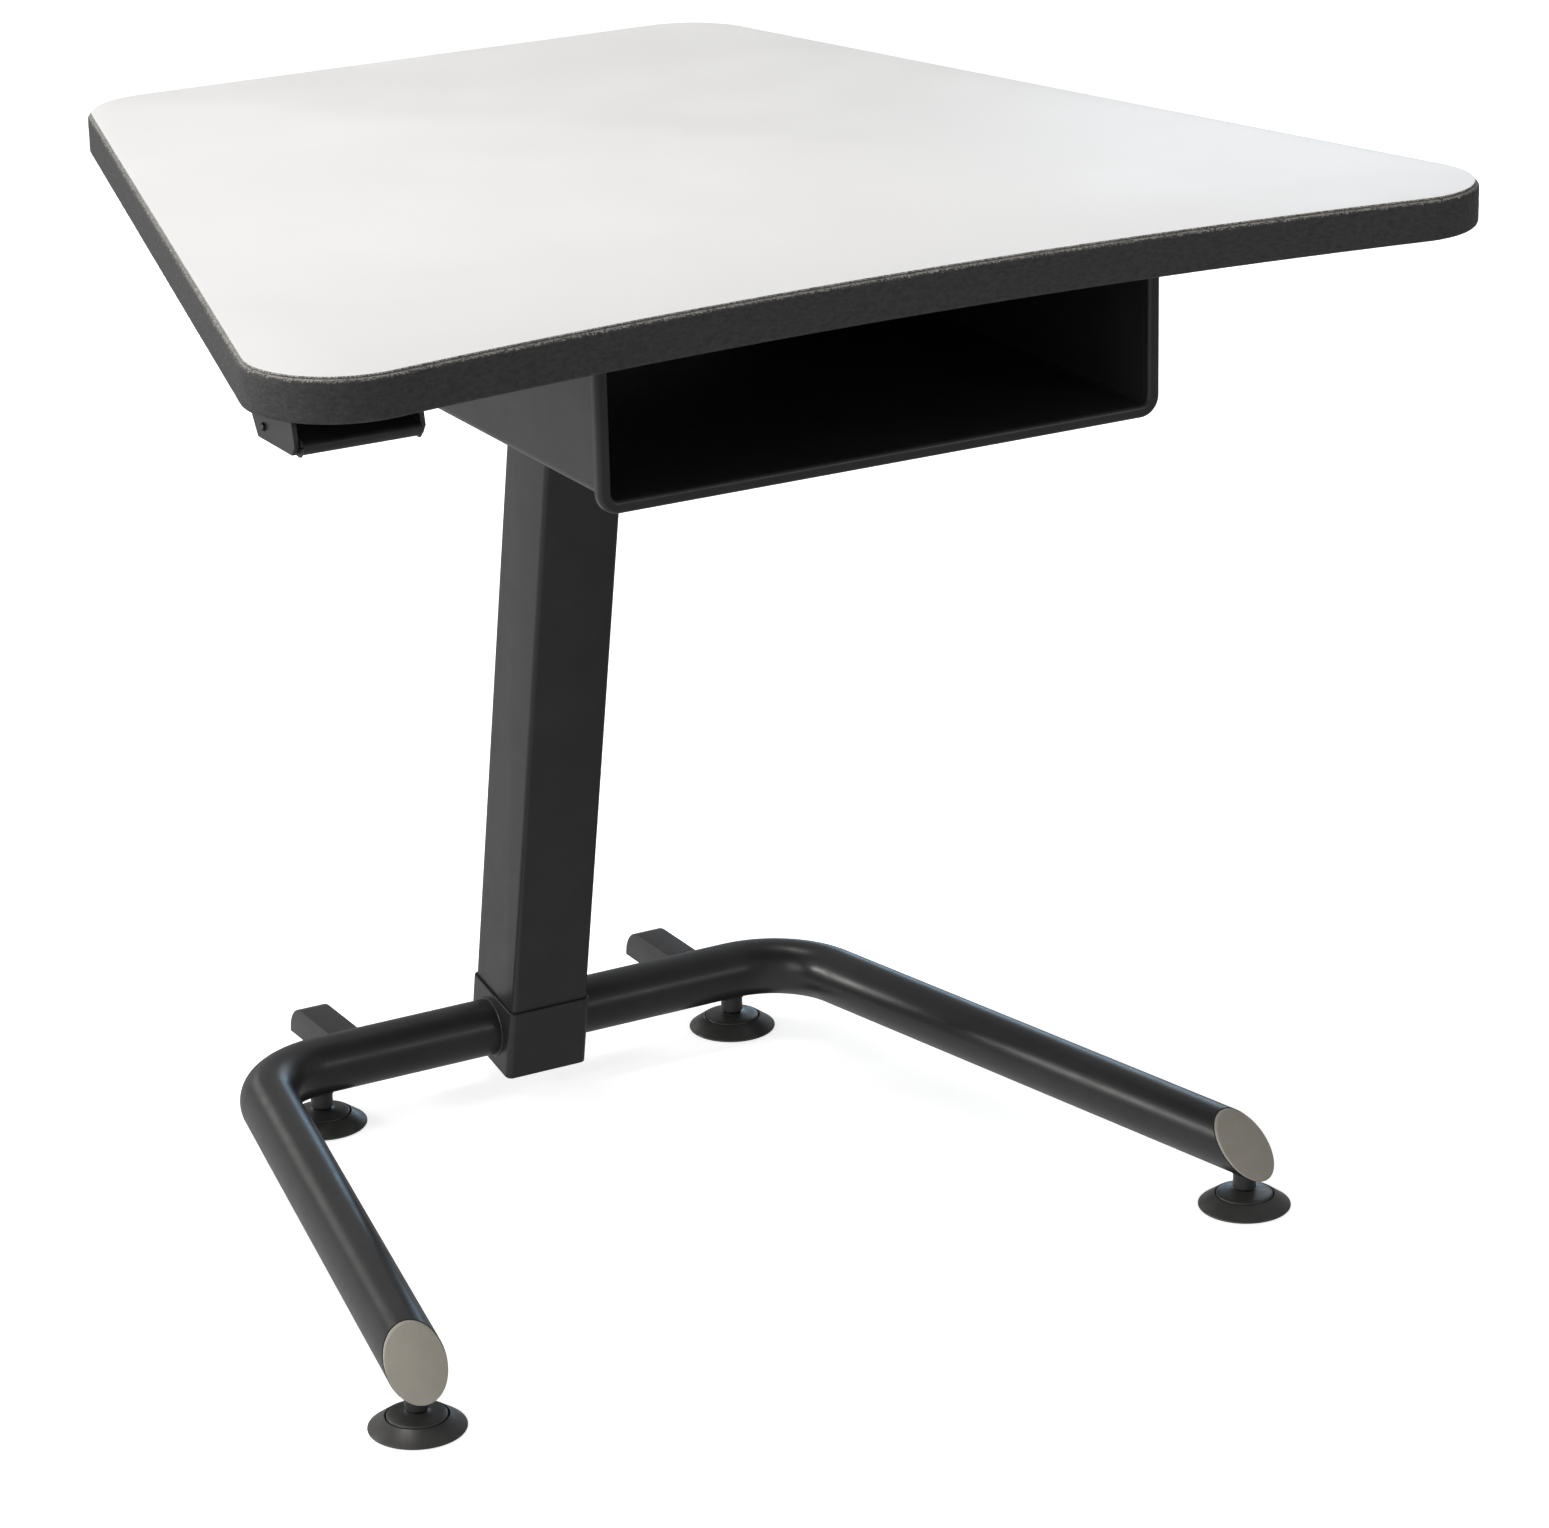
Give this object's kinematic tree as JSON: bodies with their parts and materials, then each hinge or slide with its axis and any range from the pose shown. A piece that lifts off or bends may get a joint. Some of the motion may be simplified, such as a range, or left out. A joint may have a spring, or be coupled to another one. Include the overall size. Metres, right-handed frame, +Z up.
{
  "type": "teacher desk",
  "caption": "Sit-stand teacher desk: white trapezoid worktop with a book box on one leaning telescopic column over a U-shaped tube base with levelling feet.",
  "frame": {"origin": "on the floor, at the centre of the desk's bounding footprint at rest", "axes": "+X to the right of the seated user, +Y away from the user (the column's foot and heel bars are on +Y), +Z up; the worktop's wide concave edge faces -Y"},
  "size_m": [0.8662, 0.7616, 0.748],
  "materials": {
    "whiteboard": "satin white high-pressure laminate, faint orange-peel",
    "sprayed_edge": "sprayed leathery black edge with pale scuffed upper bevel",
    "fibreboard": "raw medium-density fibreboard",
    "backer": "dark phenolic backing sheet",
    "powder_coat": "satin black powder coat",
    "end_cap": "taupe-grey moulded plastic",
    "black_plastic": "black moulded nylon",
    "foot_plastic": "satin black moulded plastic",
    "zinc_screw": "zinc-plated steel",
    "zinc_thread": "dark zinc-plated steel",
    "polished_rod": "hard-chromed steel",
    "cable_sheath": "black extruded cable jacket"
  },
  "bodies": {
    "base": {"base_tube": "powder_coat", "leg_end_cap_left": "end_cap", "leg_end_cap_right": "end_cap", "heel_bar_left": "powder_coat", "heel_bar_right": "powder_coat", "base_collar": "powder_coat", "outer_column": "powder_coat", "column_bottom_cap": "black_plastic", "column_guide_bush": "black_plastic", "gas_spring_anchor": "powder_coat", "gas_spring_rod": "polished_rod", "leveller_boss_front_left": "powder_coat", "leveller_boss_front_right": "powder_coat", "leveller_boss_rear_left": "powder_coat", "leveller_boss_rear_right": "powder_coat"},
    "carriage": {"worktop_core": "fibreboard", "worktop_laminate": "whiteboard", "backer_sheet": "backer", "edge_band": "sprayed_edge", "plate_screw_1": "zinc_screw", "plate_screw_2": "zinc_screw", "plate_screw_3": "zinc_screw", "plate_screw_4": "zinc_screw", "plate_screw_5": "zinc_screw", "plate_screw_6": "zinc_screw", "box_screw_1": "zinc_screw", "box_screw_2": "zinc_screw", "box_screw_3": "zinc_screw", "box_screw_4": "zinc_screw", "bracket_screw_1": "zinc_screw", "bracket_screw_2": "zinc_screw", "inner_column": "powder_coat", "column_slide_shoe": "black_plastic", "gas_spring_cylinder": "powder_coat", "head_plate": "powder_coat", "gusset_left": "powder_coat", "gusset_right": "powder_coat", "book_box_pan": "powder_coat", "book_box_rim": "powder_coat", "release_bracket": "powder_coat", "release_pin": "zinc_thread", "release_cable": "cable_sheath"},
    "paddle": {"release_paddle": "black_plastic"},
    "stem_front_left": {"leveller_stem_front_left": "zinc_thread"},
    "pad_front_left": {"leveller_pad_front_left": "foot_plastic", "leveller_cap_front_left": "foot_plastic"},
    "stem_front_right": {"leveller_stem_front_right": "zinc_thread"},
    "pad_front_right": {"leveller_pad_front_right": "foot_plastic", "leveller_cap_front_right": "foot_plastic"},
    "stem_rear_left": {"leveller_stem_rear_left": "zinc_thread"},
    "pad_rear_left": {"leveller_pad_rear_left": "foot_plastic", "leveller_cap_rear_left": "foot_plastic"},
    "stem_rear_right": {"leveller_stem_rear_right": "zinc_thread"},
    "pad_rear_right": {"leveller_pad_rear_right": "foot_plastic", "leveller_cap_rear_right": "foot_plastic"}
  },
  "joints": [
    {"name": "column_lift", "type": "slide", "parent": "base", "child": "carriage", "axis": [0, -0.1961, 0.9806], "range_m": [0, 0.4]},
    {"name": "paddle_pull", "type": "hinge", "parent": "carriage", "child": "paddle", "pos_m": [-0.377, -0.31075, 0.7064], "axis": [-1, 0, 0], "range_deg": [0, 12], "stiffness_Nm_per_rad": 0.6, "springref_deg": -14.32},
    {"name": "leveller_front_left", "type": "slide", "parent": "base", "child": "stem_front_left", "axis": [0, 0, -1], "range_m": [0, 0.012]},
    {"name": "pad_tilt_front_left", "type": "hinge", "parent": "stem_front_left", "child": "pad_front_left", "pos_m": [-0.3229, -0.24575, 0.0066], "axis": [1, 0, 0], "range_deg": [-7, 7]},
    {"name": "leveller_front_right", "type": "slide", "parent": "base", "child": "stem_front_right", "axis": [0, 0, -1], "range_m": [0, 0.012]},
    {"name": "pad_tilt_front_right", "type": "hinge", "parent": "stem_front_right", "child": "pad_front_right", "pos_m": [0.3229, -0.24575, 0.0066], "axis": [1, 0, 0], "range_deg": [-7, 7]},
    {"name": "leveller_rear_left", "type": "slide", "parent": "base", "child": "stem_rear_left", "axis": [0, 0, -1], "range_m": [0, 0.012]},
    {"name": "pad_tilt_rear_left", "type": "hinge", "parent": "stem_rear_left", "child": "pad_rear_left", "pos_m": [-0.1724, 0.22925, 0.0066], "axis": [1, 0, 0], "range_deg": [-7, 7]},
    {"name": "leveller_rear_right", "type": "slide", "parent": "base", "child": "stem_rear_right", "axis": [0, 0, -1], "range_m": [0, 0.012]},
    {"name": "pad_tilt_rear_right", "type": "hinge", "parent": "stem_rear_right", "child": "pad_rear_right", "pos_m": [0.1724, 0.22925, 0.0066], "axis": [1, 0, 0], "range_deg": [-7, 7]}
  ]
}
